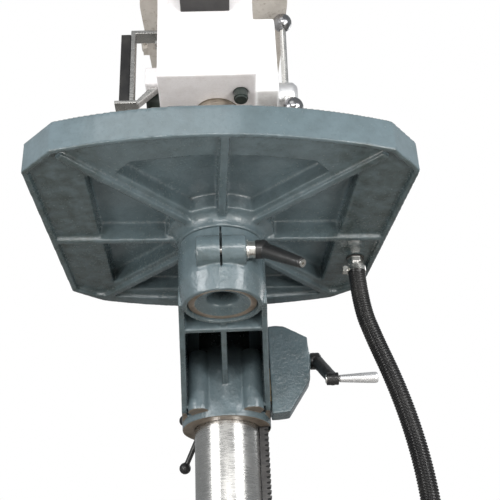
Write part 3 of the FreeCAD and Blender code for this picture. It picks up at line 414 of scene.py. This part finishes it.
hm = bpy.data.meshes.new("hose")
hm.from_pydata(verts.tolist(), [], faces)
hm.materials.append(hose_mat)
hm.polygons.foreach_set("use_smooth", np.ones(len(hm.polygons), bool))
hm.update()
hose = bpy.data.objects.new("hose", hm)
scene.collection.objects.link(hose)
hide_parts("drain_hose")
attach(hose, "table")

# ---------------------------------------------------------------- castings
SX, SY = 0.0, -0.130          # stem axis


def rad_stem(co):
    return np.hypot(co[:, 0] - SX, co[:, 1] - SY)


def table_hold(co):
    w = np.where(co[:, 2] > 1.0185, 0.15, 1.0)
    return np.where((rad_stem(co) < 0.058) & (co[:, 2] < 0.8615), 0.35, w)


def table_raw(co, no):
    r = rad_stem(co)
    top = step(co[:, 2], 1.0186, 1.0194) * step(no[:, 2], 0.5, 0.8)
    ring = step(r, 0.0425, 0.0436) * (r < 0.0556) * step(-co[:, 2], -0.8604, -0.8592)
    return np.maximum(top, ring)


def table_calm(co, no):
    """The outside of the rim is filled and smooth."""
    return step(np.hypot(co[:, 0], co[:, 1] + 0.130), 0.215, 0.232) * step(1 - np.abs(no[:, 2]), 0.35, 0.8) * outward(co, no)


def outward(co, no):
    d = np.stack([co[:, 0], co[:, 1] + 0.130], 1)
    return step((d * no[:, :2]).sum(1) / np.linalg.norm(d, axis=1), 0.15, 0.35)


# painted shade on the table's underside, stronger towards the left and right sides; the outside of the rim is left
# out
def table_film(co, no):
    side = 0.25 + 0.75 * step(np.abs(co[:, 0]), 0.14, 0.20)
    return (1 - table_calm(co, no)) * step(-co[:, 2], -1.006, -0.985) * side


# painted shade up inside the stem bore, darker higher up
def table_soot(co, no):
    return (rad_stem(co) < 0.0245) * step(co[:, 2], 0.866, 0.900)


# painted shade in the arm's pockets, darker higher up, and along the clamp slit
def arm_soot(co, no):
    slit = (np.abs(co[:, 0]) < 0.0016) & (co[:, 1] < -0.150) & (co[:, 1] > -0.2155) & (co[:, 2] > 0.889) & (co[:, 2] < 0.944)
    inside = (np.abs(co[:, 0]) < 0.0700) & (co[:, 1] > -0.062) & (co[:, 1] < 0.125)
    return np.maximum(slit, inside * step(co[:, 2], 0.846, 0.905))


# painted shade on the faces of the arm that point downwards
def arm_film(co, no):
    return 0.5 * step(-no[:, 2], -0.2, 0.6)


def arm_hold(co):
    slit = (np.abs(co[:, 0]) < 0.0042) & (co[:, 1] < -0.165)
    return np.where(slit, 0.06, 1.0)


def arm_raw(co, no):
    down = step(-no[:, 2], 0.6, 0.85)
    low = (co[:, 2] < 0.7795) & (co[:, 1] > 0.08)
    bore = (np.hypot(co[:, 0], co[:, 1] - 0.190) < 0.0592)
    return np.maximum(down * low, bore * 0.9)


cast("table_casting", 0.0017, 7, enamel, table_hold, table_raw, 0.00035, 0.018, calm=table_calm, film=table_film, soot=table_soot)
cast("table_arm", 0.0009, 14, enamel, arm_hold, arm_raw, 0.0003, 0.016, soot=arm_soot, film=arm_film)
cast("gearbox_housing", 0.0013, 9, enamel, None, None, 0.0003, 0.016)
cast("base_casting", 0.0035, 4, enamel, None, lambda co, no: step(co[:, 2], 0.0596, 0.0602) * step(no[:, 2], 0.6, 0.9) * (np.abs(co[:, 1]) < 0.6) * 0.9, 0.0004, 0.03)
cast("column_flange", 0.0022, 6, enamel, None, None, 0.0004, 0.02)
cast("head_casting", 0.0021, 6, cream, None, None, 0.0003, 0.02)
cast("motor_body", 0.0016, 2, black_paint)
cast("junction_box", 0.0013, 3, black_paint)
cast("motor_plate", 0.0016, 3, enamel)
cast("spring_housing", 0.0010, 4, dark_end)
cast("switch_box", 0.0012, 4, black_plastic)
cast("rack_collar_lower", 0.0015, 3, dark)
cast("rack_collar_upper", 0.0015, 3, dark)
cast("column_lock_upper", 0.0008, 4, black_cast)
cast("column_lock_lower", 0.0008, 4, black_cast)
cast("clamp_lever", 0.0006, 4, black_cast, None, None, 0.0002, 0.006)
cast("crank_arm", 0.0007, 5, black_cast, None, None, 0.0004, 0.006)
cast("crank_grip", 0.0005, 3, alu)
cast("clamp_spacer", 0.0005, 2, zinc)
cast("table_clamp_bolt", 0.0006, 2, zinc)
cast("feed_hub", 0.0010, 4, alu)
cast("feed_knobs", 0.0008, 4, ball_steel)
cast("cover_knob", 0.0008, 4, black_plastic)
cast("drain_fitting", 0.0005, 2, zinc)
fo = bpy.data.objects["drain_fitting_look"]
fm = fo.data
fm.materials.append(rubber)
cen_f = np.empty(len(fm.polygons) * 3)
fm.polygons.foreach_get("center", cen_f)
cen_f = cen_f.reshape(-1, 3)
fm.polygons.foreach_set("material_index", (cen_f[:, 2] > 0.9757).astype(np.int32))
cast("side_bracket", 0.0010, 2, ground)
cast("bracket_pad", 0.0008, 3, black_plastic)
cast("start_button", 0.0005, 3, green_plastic)
cast("stop_button", 0.0005, 3, red_plastic)

# ---------------------------------------------------------------- the other pieces keep their own mesh
LOOK = {
    "flange_bolts": zinc, "column_tube": ground, "head_set_screws": dark, "bracket_screws": zinc, "depth_stop_rod": dark_end,
    "idler_post": dark, "belt_guard_pan": sheet, "cover_hinge_pins": zinc, "motor_rods": ground, "fan_cover": black_paint,
    "front_belt": rubber, "rear_belt": rubber, "motor_shaft": ground, "motor_pulley": alu, "idler_pulley": alu, "spindle_pulley": alu,
    "quill": turned, "quill_bearings": dark, "spindle": ground, "feed_shaft": ground, "feed_rods": zinc, "belt_cover": sheet,
    "rack": dark, "collar_screws": dark, "worm_wheel": bronze, "lift_pinion": dark, "pinion_shaft": ground, "worm_shaft": dark,
    "crank_grip_bolt": zinc, "clamp_lever_screw": zinc, "hose_clamp": zinc,
}
for n, mat in LOOK.items():
    me = N[n].data
    me.materials.clear()
    me.materials.append(mat)
    me.polygons.foreach_set("material_index", np.zeros(len(me.polygons), np.int32))

# ---------------------------------------------------------------- floor and light
fl = bpy.data.meshes.new("floor")
fl.from_pydata([(-6, -6, -0.0006), (6, -6, -0.0006), (6, 6, -0.0006), (-6, 6, -0.0006)], [], [(0, 1, 2, 3)])
g = Mat("floor")
fl.materials.append(g.done(g.mix(g.noise(2, 2), (0.52, 0.50, 0.47), (0.55, 0.53, 0.50)), 0.7))
floor = bpy.data.objects.new("floor", fl)
scene.collection.objects.link(floor)


def area(name, loc, at, sx, sy, watts, col=(1, 1, 1)):
    d = bpy.data.lights.new(name, "AREA")
    d.shape, d.size, d.size_y, d.energy, d.color = "RECTANGLE", sx, sy, watts, col
    o = bpy.data.objects.new(name, d)
    scene.collection.objects.link(o)
    o.location = loc
    o.rotation_mode = "QUATERNION"
    o.rotation_quaternion = (Vector(at) - Vector(loc)).to_track_quat("-Z", "Y")
    o.visible_camera = False
    return o


area("side_left", (-1.03, -0.915, 1.07), (-0.03, -0.19, 0.868), 0.62, 0.42, 6.5, (0.98, 0.99, 1.0))
area("side_right", (1.00, -0.949, 1.07), (0.03, -0.19, 0.868), 0.62, 0.42, 8, (0.98, 0.99, 1.0))
area("low_left", (-0.95, -1.10, 0.34), (-0.02, -0.19, 0.95), 0.50, 0.42, 9, (1.0, 0.985, 0.96))
area("low_right", (0.95, -1.12, 0.34), (0.02, -0.19, 0.95), 0.42, 0.40, 9, (1.0, 0.985, 0.96))
area("front_low", (0.1, -2.5, 0.80), (0, -0.2, 0.93), 1.6, 0.4, 25, (1.0, 0.995, 0.985))
area("front_high", (-0.5, -2.4, 2.2), (0, -0.2, 1.1), 1.6, 1.0, 8, (1.0, 0.99, 0.97))
area("back_right", (1.6, 1.6, 2.0), (0, 0, 1.1), 1.0, 1.0, 8)

w = bpy.data.worlds.new("studio")
scene.world = w
w.use_nodes = True
t = w.node_tree
t.nodes.clear()
wo = t.nodes.new("ShaderNodeOutputWorld")
mx = t.nodes.new("ShaderNodeMixShader")
lp = t.nodes.new("ShaderNodeLightPath")
b1 = t.nodes.new("ShaderNodeBackground")
b2 = t.nodes.new("ShaderNodeBackground")
b1.inputs[0].default_value = (0.93, 0.97, 1.0, 1)
b1.inputs[1].default_value = 0.33
b2.inputs[0].default_value = (1, 1, 1, 1)
b2.inputs[1].default_value = 1.0
t.links.new(lp.outputs["Is Camera Ray"], mx.inputs[0])
t.links.new(b1.outputs[0], mx.inputs[1])
t.links.new(b2.outputs[0], mx.inputs[2])
t.links.new(mx.outputs[0], wo.inputs[0])
scene.view_settings.view_transform = "Standard"
scene.view_settings.look = "None"

bpy.context.view_layer.update()
